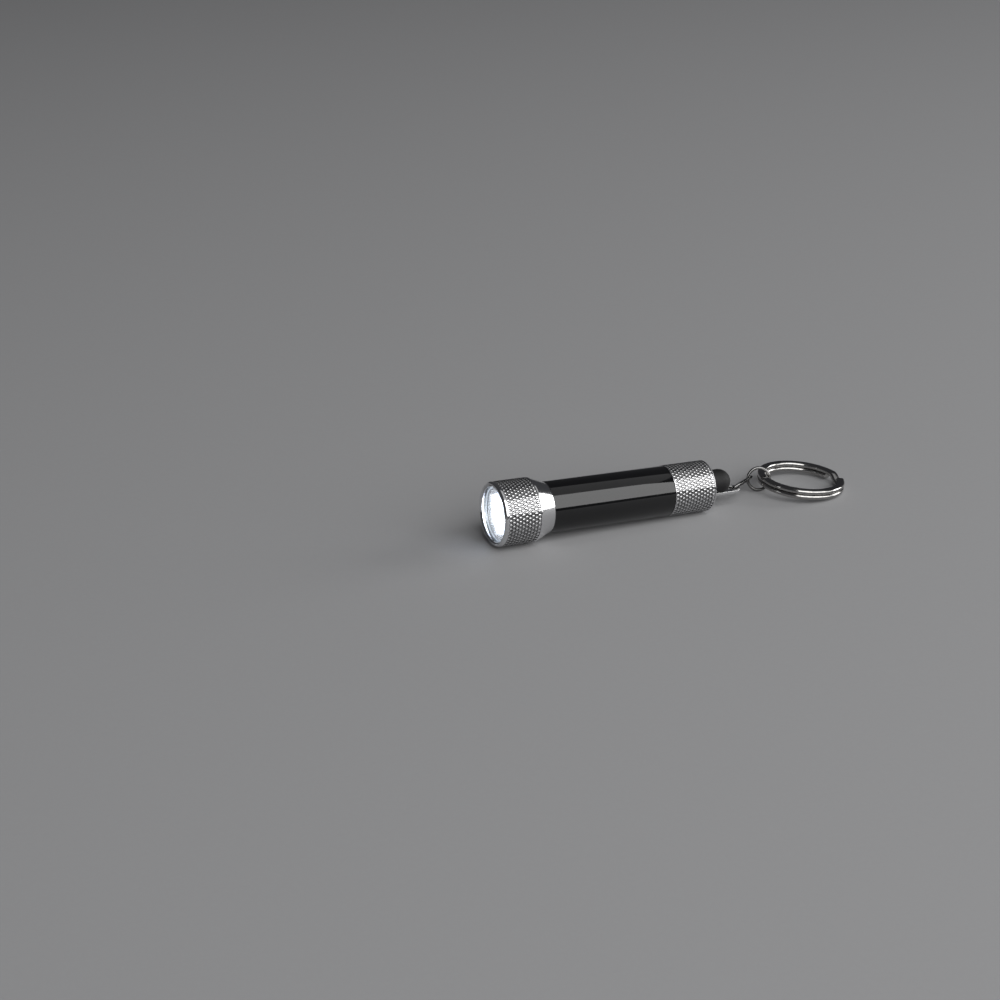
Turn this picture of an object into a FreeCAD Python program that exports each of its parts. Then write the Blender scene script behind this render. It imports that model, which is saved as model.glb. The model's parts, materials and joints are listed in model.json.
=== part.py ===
import FreeCAD, Part
import math
import os

# Keychain flashlight, in millimetres. The axis is X and the light leaves towards -X.
# The origin is the middle of the head's front rim, and +Z is up.

# Clearances
RUN = 0.05           # radial, between a thread or slide and its mate
SEAM = 0.05          # axial, between faces that turn on each other
SEAT = 0.02          # between pieces that are pressed or glued together
LOOSE = 0.10         # between loose inner pieces and their pocket

# Head shell
HEAD_DIAMETER = 17.6
HEAD_LENGTH = 15.4
HEAD_TAPER_LENGTH = 4.6
RIM_BEVEL = 0.45
HEAD_FRONT_WALL = 0.7
HEAD_REAR_WALL = 1.4

# Front stack: bezel ring, lens, seal, reflector, light emitters, board
BEZEL_DEPTH = 0.9
BEZEL_WIDTH = 0.55
BEZEL_FLARE = 0.4
LENS_THICKNESS = 1.2
SEAL_SECTION = 0.6
REFLECTOR_DEPTH = 5.2
REFLECTOR_FLOOR = 0.8
REFLECTOR_FLANGE = 0.8
REFLECTOR_EDGE = 0.15
WELL_MARGIN = 0.15
LED_COUNT = 3
LED_DIAMETER = 5.0
LED_FLANGE_WIDTH = 0.15
LED_GAP = 0.07
LED_LENGTH = 6.3
LEAD_WIDTH = 0.5
LEAD_SPACING = 2.54
LEAD_LENGTH = 1.3
SPACER_LENGTH = 0.9
BOARD_THICKNESS = 0.8
RESISTOR_SIZE = (0.5, 0.8, 1.6)
RESISTOR_RADIUS = 4.5
NECK_GAP = 0.6

# Barrel
BARREL_WALL = 0.8
BARREL_END = 52.0
NECK_STEP = 0.6
NECK_WALL = 1.4
STOP_THICKNESS = 1.5
RING_SECTION = 0.6
RING_GROOVE_OFFSET = 1.3

# Power: button cells in an insulating sleeve
CELL_DIAMETER = 11.6
CELL_HEIGHT = 5.4
CELL_CAP_HEIGHT = 0.3
CELL_SHOULDER = 1.0
CELL_COUNT = 4
SLEEVE_WALL = 0.3

# Tail cap
CAP_PROUD = 0.1
CAP_LENGTH = 13.2
CAP_CHAMFER = 0.75
CAP_WALL = 0.75
CAP_REAR_WALL = 1.5
CAP_LEDGE = 0.7
SPIGOT_LENGTH = 5.1
SPIGOT_RECESS = 0.3

# Push button and switch
BUTTON_RISE = 0.6
BUTTON_TRAVEL = 1.2
DOME_DIAMETER = 7.0
DOME_STRAIGHT = 3.95
DOME_WALL = 1.1
BOOT_FLANGE = 2.3
HOUSING_LENGTH = 8.7
HOUSING_FRONT_WALL = 2.0
HOUSING_REAR_WALL = 1.0
HOUSING_CAVITY = 6.8
PLUNGER_DIAMETER = 4.4
PLUNGER_COLLAR_GAP = 0.5
PLUNGER_COLLAR = 1.2
NOSE_DIAMETER = 1.8
BRIDGE_MARGIN = 0.25
BRIDGE_THICKNESS = 0.4
TERMINAL_DIAMETER = 0.9
TERMINAL_SPACING = 2.0
STRIP_THICKNESS = 0.4
CONTACT_PLATE_DIAMETER = 5.2
CONTACT_PLATE_THICKNESS = 0.5
RETAINER_LENGTH = 1.5
RETAINER_BORE = 7.8

# Springs: mean diameter, wire diameter and turns
BOARD_SPRING = (3.8, 0.5, 5)
RETURN_SPRING = (4.8, 0.35, 4)
NEGATIVE_SPRING = (6.0, 0.6, 6)

# Lug: a washer with one ear for the chain
LUG_THICKNESS = 0.8
LUG_WIDTH = 4.6
LUG_HOLE_DIAMETER = 3.0
LUG_REACH = 8.8
LUG_DROP = 2.35

# Chain
LINK_WIRE = 0.8
LINK_BEND_RADIUS = 1.5
LINK_REACH = 0.45
JUMP_RING_OUTER = 7.2
JUMP_RING_WIRE = 0.85
JUMP_RING_REACH = 12.3
JUMP_RING_Y = 5.6
JUMP_RING_LEAN = 12.0
CHAIN_HEADING = -15.7
WIRE_PLAY = 0.20
FLOOR_PLAY = 0.12

# Split ring: two flat coils
RING_DIAMETER = 25.0
RING_WIDTH = 2.3
COIL_HEIGHT = 1.35
COIL_GAP = 0.1
COIL_ROUND = 0.35
RING_PLAY = 0.057
JOGGLE_HEADING = 3.0
JOGGLE_ANGLE = 18.0
END_GAP_ANGLE = 9.0

# Radii
cell_r = CELL_DIAMETER / 2
cell_cap_r = cell_r - CELL_SHOULDER
sleeve_inner_r = cell_r + RUN
sleeve_outer_r = sleeve_inner_r + SLEEVE_WALL
barrel_bore_r = sleeve_outer_r + RUN
barrel_r = barrel_bore_r + BARREL_WALL
neck_r = barrel_r - NECK_STEP
neck_bore_r = neck_r - NECK_WALL
head_r = HEAD_DIAMETER / 2
rim_r = head_r - RIM_BEVEL
front_pocket_r = head_r - HEAD_FRONT_WALL
rear_pocket_r = head_r - HEAD_REAR_WALL
head_bore_r = neck_r + RUN
bezel_opening_r = front_pocket_r - BEZEL_WIDTH
reflector_r = rear_pocket_r - RUN
reflector_mouth_r = reflector_r - REFLECTOR_EDGE
led_flange_r = LED_DIAMETER / 2 + LED_FLANGE_WIDTH
led_circle_r = (led_flange_r + LED_GAP / 2) / math.sin(math.pi / LED_COUNT)
reflector_well_r = led_circle_r + LED_DIAMETER / 2 + WELL_MARGIN
cap_r = barrel_r + CAP_PROUD
spigot_bore_r = cap_r - 2 * CAP_WALL
spigot_r = spigot_bore_r + CAP_WALL
thread_bore_r = spigot_r + RUN
cap_opening_r = spigot_bore_r - CAP_LEDGE
inner_fit_r = spigot_bore_r - LOOSE
cavity_r = HOUSING_CAVITY / 2
collar_r = cavity_r - PLUNGER_COLLAR_GAP
bridge_r = (TERMINAL_SPACING + TERMINAL_DIAMETER) / 2 + BRIDGE_MARGIN
dome_r = DOME_DIAMETER / 2

# Stations along the axis, from the front rim to the rear
knurl_end = HEAD_LENGTH - HEAD_TAPER_LENGTH
lens_front = BEZEL_DEPTH + SEAM
lens_back = lens_front + LENS_THICKNESS
seal_back = lens_back + SEAL_SECTION
reflector_front = seal_back + SEAM
well_floor = reflector_front + REFLECTOR_DEPTH
reflector_back = well_floor + REFLECTOR_FLOOR
board_front = reflector_back + SPACER_LENGTH
board_back = board_front + BOARD_THICKNESS
neck_front = board_back + NECK_GAP
cells_front = HEAD_LENGTH + STOP_THICKNESS + LOOSE
cells_back = cells_front + CELL_COUNT * CELL_HEIGHT
cap_front = BARREL_END + SEAM
cap_back = BARREL_END + CAP_LENGTH
spigot_front = BARREL_END - SPIGOT_LENGTH
lug_back = cap_back - CAP_REAR_WALL
lug_front = lug_back - LUG_THICKNESS
flange_front = lug_front - BOOT_FLANGE
housing_front = flange_front - HOUSING_LENGTH
cavity_front = housing_front + HOUSING_FRONT_WALL
cavity_back = flange_front - HOUSING_REAR_WALL
dome_front = flange_front + BUTTON_TRAVEL + 2 * LOOSE
dome_centre_x = cap_back + DOME_STRAIGHT
collar_back = cavity_back - LOOSE
collar_front = collar_back - PLUNGER_COLLAR
terminal_back = cavity_front + LOOSE
bridge_front = terminal_back + SEAM + BUTTON_TRAVEL
strip_front = housing_front - STRIP_THICKNESS
retainer_front = strip_front - RETAINER_LENGTH
hole_x = cap_back + LUG_REACH
contact_plate_front = strip_front - LOOSE - CONTACT_PLATE_THICKNESS

# The plane that the lying flashlight rests on, touched by the head and by the tail cap
rest_slope = math.atan2(head_r - cap_r, cap_back - CAP_CHAMFER - knurl_end)
REST_POINT = FreeCAD.Vector(knurl_end, 0, -head_r)
REST_ALONG = FreeCAD.Vector(math.cos(rest_slope), 0, math.sin(rest_slope))
REST_ACROSS = FreeCAD.Vector(0, 1, 0)
REST_UP = FreeCAD.Vector(-math.sin(rest_slope), 0, math.cos(rest_slope))

ORIGIN = FreeCAD.Vector(0, 0, 0)
AXIS = FreeCAD.Vector(1, 0, 0)


def lathe(profile):
    """A solid turned about the flashlight's axis from (x, radius) points."""
    points = [FreeCAD.Vector(x, 0, r) for x, r in profile]
    face = Part.Face(Part.makePolygon(points + points[:1]))
    return face.revolve(ORIGIN, AXIS, 360)


def rod(x0, x1, radius, y=0.0, z=0.0):
    """A cylinder along the axis between two stations."""
    return Part.makeCylinder(radius, x1 - x0, FreeCAD.Vector(x0, y, z), AXIS)


def tube(x0, x1, inner, outer):
    """A round tube on the axis."""
    return lathe([(x0, inner), (x1, inner), (x1, outer), (x0, outer)])


def block(x0, x1, y0, y1, z0, z1):
    """A box between two corners."""
    return Part.makeBox(x1 - x0, y1 - y0, z1 - z0, FreeCAD.Vector(x0, y0, z0))


def seal_ring(x_middle, mean_radius, section):
    """A rubber ring of round section on the axis."""
    return Part.makeTorus(mean_radius, section / 2, FreeCAD.Vector(x_middle, 0, 0), AXIS)


def coil_spring(x0, x1, spring, z=0.0):
    """A coil spring on the axis that fills the length between two stations."""
    mean_diameter, wire, turns = spring
    length = x1 - x0 - wire
    radius = mean_diameter / 2
    helix = Part.makeHelix(length / turns, length, radius)
    start = FreeCAD.Vector(radius, 0, 0)
    tangent = FreeCAD.Vector(0, 2 * math.pi * radius, length / turns)
    section = Part.Wire([Part.makeCircle(wire / 2, start, tangent)])
    spring_solid = Part.Wire(helix.Edges).makePipeShell([section], True, True)
    spring_solid.rotate(ORIGIN, FreeCAD.Vector(0, 1, 0), 90)
    spring_solid.translate(FreeCAD.Vector(x0 + wire / 2, 0, z))
    return spring_solid


def led_places():
    """The centres of the light emitters, seen along the axis."""
    for index in range(LED_COUNT):
        angle = math.radians(90 + index * 360 / LED_COUNT)
        yield led_circle_r * math.cos(angle), led_circle_r * math.sin(angle)


def lead_places():
    """The centres of the emitters' leads, two to each emitter."""
    for index in range(LED_COUNT):
        angle = math.radians(90 + index * 360 / LED_COUNT)
        for side in (-1, 1):
            offset = side * LEAD_SPACING / 2
            y = led_circle_r * math.cos(angle) - offset * math.sin(angle)
            z = led_circle_r * math.sin(angle) + offset * math.cos(angle)
            yield y, z


def make_head_shell():
    """The knurled head: a bored shell with a taper that runs down to the barrel."""
    shelf = reflector_front + REFLECTOR_FLANGE
    return lathe([
        (0, front_pocket_r), (0, rim_r), (RIM_BEVEL, head_r), (knurl_end, head_r),
        (HEAD_LENGTH - SEAM, barrel_r), (HEAD_LENGTH - SEAM, head_bore_r),
        (board_back, head_bore_r), (board_back, rear_pocket_r),
        (shelf, rear_pocket_r), (shelf, front_pocket_r)])


def make_bezel_ring():
    """The ring pressed into the head's mouth to hold the lens, flared towards the front."""
    outer = front_pocket_r - SEAT
    return lathe([
        (0, bezel_opening_r + BEZEL_FLARE), (0, outer), (BEZEL_DEPTH, outer),
        (BEZEL_DEPTH, bezel_opening_r), (BEZEL_FLARE, bezel_opening_r)])


def make_lens_seal():
    """The rubber ring between the lens and the reflector's flange."""
    mean_radius = front_pocket_r - RUN - SEAL_SECTION / 2
    return seal_ring((lens_back + seal_back) / 2, mean_radius, SEAL_SECTION)


def make_reflector():
    """The cone-shaped cup around the emitters, with one hole for each in its floor."""
    shelf = reflector_front + REFLECTOR_FLANGE
    flange_r = front_pocket_r - RUN
    cup = lathe([
        (reflector_front, reflector_mouth_r), (reflector_front, flange_r), (shelf, flange_r),
        (shelf, reflector_r), (reflector_back, reflector_r), (reflector_back, 0), (well_floor, 0),
        (well_floor, reflector_well_r)])
    for y, z in led_places():
        cup = cup.cut(rod(well_floor - 1, reflector_back + 1, LED_DIAMETER / 2 + RUN, y, z))
    return cup


def make_led(y, z):
    """One domed emitter with its base flange."""
    radius = LED_DIAMETER / 2
    dome_x = board_front - LED_LENGTH + radius
    body = rod(dome_x, board_front, radius, y, z)
    dome = Part.makeSphere(radius, FreeCAD.Vector(dome_x, y, z))
    flange = rod(reflector_back + RUN, board_front, led_flange_r, y, z)
    return body.fuse([dome, flange]).removeSplitter()


def make_led_leads():
    """The emitters' leads, from their bases through the board."""
    half = LEAD_WIDTH / 2
    leads = []
    for y, z in lead_places():
        leads.append(block(board_front, board_front + LEAD_LENGTH, y - half, y + half, z - half, z + half))
    return leads


def make_led_board():
    """The round circuit board, drilled for the leads."""
    board = rod(board_front, board_back, rear_pocket_r - LOOSE)
    for y, z in lead_places():
        board = board.cut(rod(board_front - 1, board_back + 1, LEAD_WIDTH, y, z))
    return board


def make_resistor():
    """The series resistor on the back of the board."""
    height, depth, width = RESISTOR_SIZE
    body = block(board_back, board_back + height, -width / 2, width / 2,
                 RESISTOR_RADIUS - depth / 2, RESISTOR_RADIUS + depth / 2)
    body.rotate(ORIGIN, AXIS, 180)
    return body


def make_barrel():
    """The barrel, with the threaded neck for the head and the threaded mouth for the tail cap."""
    groove = HEAD_LENGTH - RING_GROOVE_OFFSET
    groove_r = neck_r - RING_SECTION - RUN
    stop_back = HEAD_LENGTH + STOP_THICKNESS
    mouth_front = spigot_front - SPIGOT_RECESS
    return lathe([
        (neck_front, neck_bore_r), (neck_front, neck_r), (groove, neck_r), (groove, groove_r),
        (groove + RING_SECTION + 2 * RUN, groove_r), (groove + RING_SECTION + 2 * RUN, neck_r),
        (HEAD_LENGTH, neck_r), (HEAD_LENGTH, barrel_r), (BARREL_END, barrel_r),
        (BARREL_END, thread_bore_r), (mouth_front, thread_bore_r), (mouth_front, barrel_bore_r),
        (stop_back, barrel_bore_r), (stop_back, neck_bore_r)])


def make_head_ring():
    """The rubber ring in the neck's groove."""
    middle = HEAD_LENGTH - RING_GROOVE_OFFSET + RUN + RING_SECTION / 2
    return seal_ring(middle, neck_r - RING_SECTION / 2 - RUN / 2, RING_SECTION)


def make_button_cell(index):
    """One button cell: the can with its smaller cap towards the rear."""
    front = cells_front + index * CELL_HEIGHT
    shoulder = front + CELL_HEIGHT - CELL_CAP_HEIGHT
    back = front + CELL_HEIGHT
    return lathe([
        (front, 0), (front, cell_r), (shoulder, cell_r), (shoulder, cell_cap_r),
        (back, cell_cap_r), (back, 0)])


def make_cell_seals():
    """The plastic grommets between each cell's can and cap."""
    seals = []
    for index in range(CELL_COUNT):
        back = cells_front + (index + 1) * CELL_HEIGHT
        inner = cell_cap_r + SEAT
        outer = inner + 3 * CELL_CAP_HEIGHT / 2
        seals.append(tube(back - CELL_CAP_HEIGHT, back - CELL_CAP_HEIGHT / 2, inner, outer))
    return seals


def make_tail_cap():
    """The knurled tail cap with its threaded spigot and a groove for its rubber ring."""
    groove = BARREL_END - RING_GROOVE_OFFSET
    groove_r = spigot_r - RING_SECTION * 3 / 4
    return lathe([
        (spigot_front, spigot_bore_r), (spigot_front, spigot_r), (groove, spigot_r), (groove, groove_r),
        (groove + RING_SECTION + 2 * RUN, groove_r), (groove + RING_SECTION + 2 * RUN, spigot_r),
        (cap_front, spigot_r), (cap_front, cap_r), (cap_back - CAP_CHAMFER, cap_r),
        (cap_back, cap_r - CAP_CHAMFER), (cap_back, cap_opening_r), (lug_back, cap_opening_r),
        (lug_back, spigot_bore_r)])


def make_tail_ring():
    """The rubber ring in the spigot's groove, a thinner one than the head's."""
    section = RING_SECTION * 2 / 3
    middle = BARREL_END - RING_GROOVE_OFFSET + RUN + RING_SECTION / 2
    return seal_ring(middle, spigot_r - section / 2 - RUN / 4, section)


def dome_passage(x0, x1, gap):
    """The room the push button's skirt takes between two stations, grown by a gap."""
    flat = -LUG_DROP + LUG_THICKNESS / 2 + 3 * LOOSE - gap
    skirt = rod(x0, x1, dome_r + gap, 0, BUTTON_RISE)
    above = block(x0, x1, -2 * dome_r, 2 * dome_r, flat, 3 * dome_r)
    return skirt.common(above)


def make_ring_lug():
    """The steel washer inside the cap's rear wall, with the ear that carries the chain."""
    washer = rod(lug_front, lug_back, inner_fit_r)
    washer = washer.cut(dome_passage(lug_front - 1, lug_back + 1, 2 * LOOSE))
    top = -LUG_DROP + LUG_THICKNESS / 2
    bottom = top - LUG_THICKNESS
    strip = block(lug_front, hole_x, -LUG_WIDTH / 2, LUG_WIDTH / 2, bottom, top)
    up = FreeCAD.Vector(0, 0, 1)
    end = Part.makeCylinder(LUG_WIDTH / 2, LUG_THICKNESS, FreeCAD.Vector(hole_x, 0, bottom), up)
    hole = Part.makeCylinder(
        LUG_HOLE_DIAMETER / 2, 3 * LUG_THICKNESS, FreeCAD.Vector(hole_x, 0, bottom - LUG_THICKNESS), up)
    return washer.fuse([strip, end]).cut(hole).removeSplitter()


def make_boot_flange():
    """The clamped flange of the rubber boot."""
    flange = rod(flange_front, lug_front, inner_fit_r)
    return flange.cut(dome_passage(flange_front - 1, lug_front + 1, LOOSE))


def make_button_dome():
    """The rubber push button: a hollow dome, flattened below where the ear passes."""
    solid = rod(dome_front, dome_centre_x, dome_r, 0, BUTTON_RISE)
    ball = Part.makeSphere(dome_r, FreeCAD.Vector(dome_centre_x, 0, BUTTON_RISE))
    dome = solid.fuse(ball).removeSplitter()
    flat = -LUG_DROP + LUG_THICKNESS / 2 + 3 * LOOSE
    above = block(dome_front, dome_centre_x + 2 * dome_r, -2 * dome_r, 2 * dome_r, flat, 3 * dome_r)
    hollow = rod(dome_front - 1, dome_centre_x - DOME_WALL, PLUNGER_DIAMETER / 2 + SEAT, 0, BUTTON_RISE)
    return dome.common(above).cut(hollow)


def make_switch_housing():
    """The switch's moulded housing, with room for the plunger and its return spring."""
    housing = rod(housing_front, flange_front, inner_fit_r)
    cavity = rod(cavity_front, cavity_back, cavity_r, 0, BUTTON_RISE)
    guide = rod(cavity_back - 1, flange_front + 1, PLUNGER_DIAMETER / 2 + RUN, 0, BUTTON_RISE)
    housing = housing.cut(cavity).cut(guide)
    for side in (-1, 1):
        pin = rod(housing_front - 1, cavity_front + 1, TERMINAL_DIAMETER / 2 + SEAT,
                  side * TERMINAL_SPACING / 2, BUTTON_RISE)
        housing = housing.cut(pin)
    return housing


def make_plunger():
    """The switch plunger: a stem up into the dome, a collar on the spring and a nose."""
    stem = rod(collar_back, dome_centre_x - DOME_WALL - SEAT, PLUNGER_DIAMETER / 2, 0, BUTTON_RISE)
    collar = rod(collar_front, collar_back, collar_r, 0, BUTTON_RISE)
    nose = rod(bridge_front + BRIDGE_THICKNESS, collar_front, NOSE_DIAMETER / 2, 0, BUTTON_RISE)
    return stem.fuse([collar, nose]).removeSplitter()


def make_contact_bridge():
    """The disc on the plunger's nose that closes the two terminals."""
    return rod(bridge_front, bridge_front + BRIDGE_THICKNESS, bridge_r, 0, BUTTON_RISE)


def make_terminals():
    """The two pins through the housing's front wall."""
    pins = []
    for side in (-1, 1):
        y = side * TERMINAL_SPACING / 2
        pins.append(rod(housing_front, terminal_back, TERMINAL_DIAMETER / 2, y, BUTTON_RISE))
    return pins


def make_contact_plate():
    """The plate that the rear spring presses on, with its foot on one terminal."""
    plate_back = contact_plate_front + CONTACT_PLATE_THICKNESS
    plate = rod(contact_plate_front, plate_back, CONTACT_PLATE_DIAMETER / 2)
    foot = rod(plate_back, housing_front, TERMINAL_DIAMETER / 2, TERMINAL_SPACING / 2, BUTTON_RISE)
    return plate.fuse(foot).removeSplitter()


def make_ground_strip():
    """The strip that joins the other terminal to the cap's wall."""
    half = TERMINAL_DIAMETER / 2
    edge = math.sqrt(inner_fit_r ** 2 - (BUTTON_RISE + half) ** 2)
    return block(strip_front, housing_front, -edge, -TERMINAL_SPACING / 2 + half,
                 BUTTON_RISE - half, BUTTON_RISE + half)


def chain_frame():
    """Where the chain lies: the jump ring's middle and directions, and the split ring's tilt."""
    heading = math.radians(CHAIN_HEADING)
    lean = math.radians(JUMP_RING_LEAN)
    along = REST_ALONG * math.cos(heading) + REST_ACROSS * math.sin(heading)
    towards_viewer = REST_ALONG * math.sin(heading) - REST_ACROSS * math.cos(heading)
    jump_axis = towards_viewer * math.cos(lean) + REST_UP * math.sin(lean)
    mean_r = (JUMP_RING_OUTER - JUMP_RING_WIRE) / 2
    height = mean_r * math.cos(lean) + JUMP_RING_WIRE / 2 + FLOOR_PLAY
    reach = hole_x + JUMP_RING_REACH - knurl_end
    jump = REST_POINT + REST_ALONG * reach + REST_ACROSS * JUMP_RING_Y + REST_UP * height
    ring_r = (RING_DIAMETER - RING_WIDTH) / 2
    ring_half_height = COIL_HEIGHT + COIL_GAP / 2
    clear_r = mean_r - JUMP_RING_WIRE / 2 - RING_PLAY
    ring_offset = math.sqrt(clear_r ** 2 - ring_half_height ** 2) - RING_WIDTH / 2
    drop = height - ring_half_height - FLOOR_PLAY
    tilt = math.asin(drop / (ring_offset + ring_r + RING_DIAMETER / 2))
    ring_along = along * math.cos(tilt) - REST_UP * math.sin(tilt)
    ring_axis = REST_UP * math.cos(tilt) + along * math.sin(tilt)
    ring = jump + ring_along * (ring_offset + ring_r)
    return {"jump": jump, "along": along, "jump_axis": jump_axis, "mean_r": mean_r,
            "ring": ring, "ring_along": ring_along, "ring_axis": ring_axis}


def turned(shape, x_direction, z_direction, place):
    """Stand a shape modelled about its own X and Z into a frame at a place."""
    y_direction = z_direction.cross(x_direction)
    matrix = FreeCAD.Matrix(
        x_direction.x, y_direction.x, z_direction.x, place.x,
        x_direction.y, y_direction.y, z_direction.y, place.y,
        x_direction.z, y_direction.z, z_direction.z, place.z,
        0, 0, 0, 1)
    moved = shape.copy()
    moved.Placement = FreeCAD.Placement(matrix).multiply(moved.Placement)
    return moved


def make_chain_link(chain):
    """The oval link from the ear's hole round the near limb of the jump ring."""
    limb = chain["jump"] - chain["along"] * chain["mean_r"]
    hole = FreeCAD.Vector(hole_x, 0, -LUG_DROP)
    heading = FreeCAD.Vector(limb.x - hole.x, limb.y - hole.y, 0).normalize()
    start = hole + heading * LINK_REACH
    direction = (limb - start).normalize()
    finish = limb + direction * ((LINK_WIRE + JUMP_RING_WIRE) / 2 + WIRE_PLAY)
    across = REST_UP.cross(direction).normalize()
    upward = direction.cross(across)
    plane_normal = (upward + across).normalize()
    half = (finish - start).Length / 2 - LINK_BEND_RADIUS
    wire = LINK_WIRE / 2
    middle = (start + finish) * 0.5
    pieces = []
    for side in (-1, 1):
        pieces.append(Part.makeCylinder(
            wire, 2 * half, FreeCAD.Vector(-half, side * LINK_BEND_RADIUS, 0), AXIS))
        bend_middle = FreeCAD.Vector(side * half, 0, 0)
        bend = Part.makeTorus(LINK_BEND_RADIUS, wire, bend_middle, FreeCAD.Vector(0, 0, 1))
        room = 3 * LINK_BEND_RADIUS
        outside = block(0, half + room, -room, room, -2 * wire, 2 * wire)
        outside.translate(FreeCAD.Vector(half, 0, 0))
        if side < 0:
            outside.rotate(ORIGIN, FreeCAD.Vector(0, 0, 1), 180)
        pieces.append(bend.common(outside))
    link = pieces[0].fuse(pieces[1:]).removeSplitter()
    return turned(link, direction, plane_normal, middle)


def make_jump_ring(chain):
    """The round wire ring between the link and the split ring."""
    return Part.makeTorus(chain["mean_r"], JUMP_RING_WIRE / 2, chain["jump"], chain["jump_axis"])


def flat_coil(z0, z1):
    """One turn of the split ring's flat wire, its edges rounded."""
    inner = RING_DIAMETER / 2 - RING_WIDTH
    up = FreeCAD.Vector(0, 0, 1)
    base = FreeCAD.Vector(0, 0, z0)
    outside = Part.makeCylinder(RING_DIAMETER / 2, z1 - z0, base, up)
    coil = outside.cut(Part.makeCylinder(inner, z1 - z0, base, up))
    round_edges = [edge for edge in coil.Edges if isinstance(edge.Curve, Part.Circle)]
    return coil.makeFillet(COIL_ROUND, round_edges)


def sector(start, sweep, half_height):
    """A wedge about Z that covers the split ring's width over an angle."""
    reach = RING_DIAMETER
    wedge = Part.makeCylinder(
        reach, 2 * half_height, FreeCAD.Vector(0, 0, -half_height), FreeCAD.Vector(0, 0, 1), sweep)
    wedge.rotate(ORIGIN, FreeCAD.Vector(0, 0, 1), start)
    return wedge


def make_split_ring(chain):
    """Two coils of one flat wire, joined where the wire steps up and cut open beside the step."""
    half_gap = COIL_GAP / 2
    top = COIL_HEIGHT + half_gap
    upper = flat_coil(half_gap, top)
    lower = flat_coil(-top, -half_gap)
    upper = upper.cut(sector(JOGGLE_HEADING - END_GAP_ANGLE, END_GAP_ANGLE, 2 * top))
    lower = lower.cut(sector(JOGGLE_HEADING + JOGGLE_ANGLE, END_GAP_ANGLE, 2 * top))
    inner = RING_DIAMETER / 2 - RING_WIDTH + COIL_ROUND
    outer = RING_DIAMETER / 2 - COIL_ROUND
    step = Part.makeCylinder(outer, 3 * COIL_GAP, FreeCAD.Vector(0, 0, -1.5 * COIL_GAP))
    step = step.cut(Part.makeCylinder(inner, 3 * COIL_GAP, FreeCAD.Vector(0, 0, -1.5 * COIL_GAP)))
    step = step.common(sector(JOGGLE_HEADING, JOGGLE_ANGLE, top))
    ring = upper.fuse([lower, step]).removeSplitter()
    return turned(ring, chain["ring_along"], chain["ring_axis"], chain["ring"])


def build():
    """Every node's shape, by its name."""
    chain = chain_frame()
    nodes = {
        "head_shell": make_head_shell(),
        "bezel_ring": make_bezel_ring(),
        "lens": rod(lens_front, lens_back, front_pocket_r - RUN),
        "lens_seal": make_lens_seal(),
        "reflector": make_reflector(),
        "led_spacer": tube(reflector_back, board_front, led_circle_r + led_flange_r + LOOSE,
                           rear_pocket_r - LOOSE),
        "led_leads": Part.makeCompound(make_led_leads()),
        "led_board": make_led_board(),
        "series_resistor": make_resistor(),
        "board_spring": coil_spring(board_back, cells_front - SEAM, BOARD_SPRING),
        "barrel": make_barrel(),
        "head_o_ring": make_head_ring(),
        "battery_sleeve": tube(cells_front, cells_back, sleeve_inner_r, sleeve_outer_r),
        "cell_seals": Part.makeCompound(make_cell_seals()),
        "negative_spring": coil_spring(cells_back + SEAM, contact_plate_front - SEAM, NEGATIVE_SPRING),
        "tail_cap": make_tail_cap(),
        "tail_o_ring": make_tail_ring(),
        "ring_lug": make_ring_lug(),
        "boot_flange": make_boot_flange(),
        "button_dome": make_button_dome(),
        "switch_housing": make_switch_housing(),
        "switch_plunger": make_plunger(),
        "return_spring": coil_spring(cavity_front + SEAM, collar_front - SEAM, RETURN_SPRING, BUTTON_RISE),
        "contact_bridge": make_contact_bridge(),
        "switch_terminals": Part.makeCompound(make_terminals()),
        "contact_plate": make_contact_plate(),
        "ground_strip": make_ground_strip(),
        "retaining_ring": tube(retainer_front, strip_front, RETAINER_BORE / 2, inner_fit_r),
        "chain_link": make_chain_link(chain),
        "jump_ring": make_jump_ring(chain),
        "split_ring": make_split_ring(chain),
    }
    for index, (y, z) in enumerate(led_places()):
        nodes["led_%d" % (index + 1)] = make_led(y, z)
    for index in range(CELL_COUNT):
        nodes["button_cell_%d" % (index + 1)] = make_button_cell(index)
    return nodes


os.makedirs("parts", exist_ok=True)
for name, shape in build().items():
    solids = shape.Solids
    if not solids or not all(solid.isValid() and solid.isClosed() for solid in solids):
        raise ValueError("%s isn't a closed, valid solid" % name)
    shape.exportStep("parts/%s.step" % name)
    print(name, len(solids), "volume %.2f" % shape.Volume)
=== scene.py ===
import json
import math

import bmesh
import bpy
from bpy.props import FloatProperty, FloatVectorProperty, IntProperty, PointerProperty
from mathutils import Matrix, Vector


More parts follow.
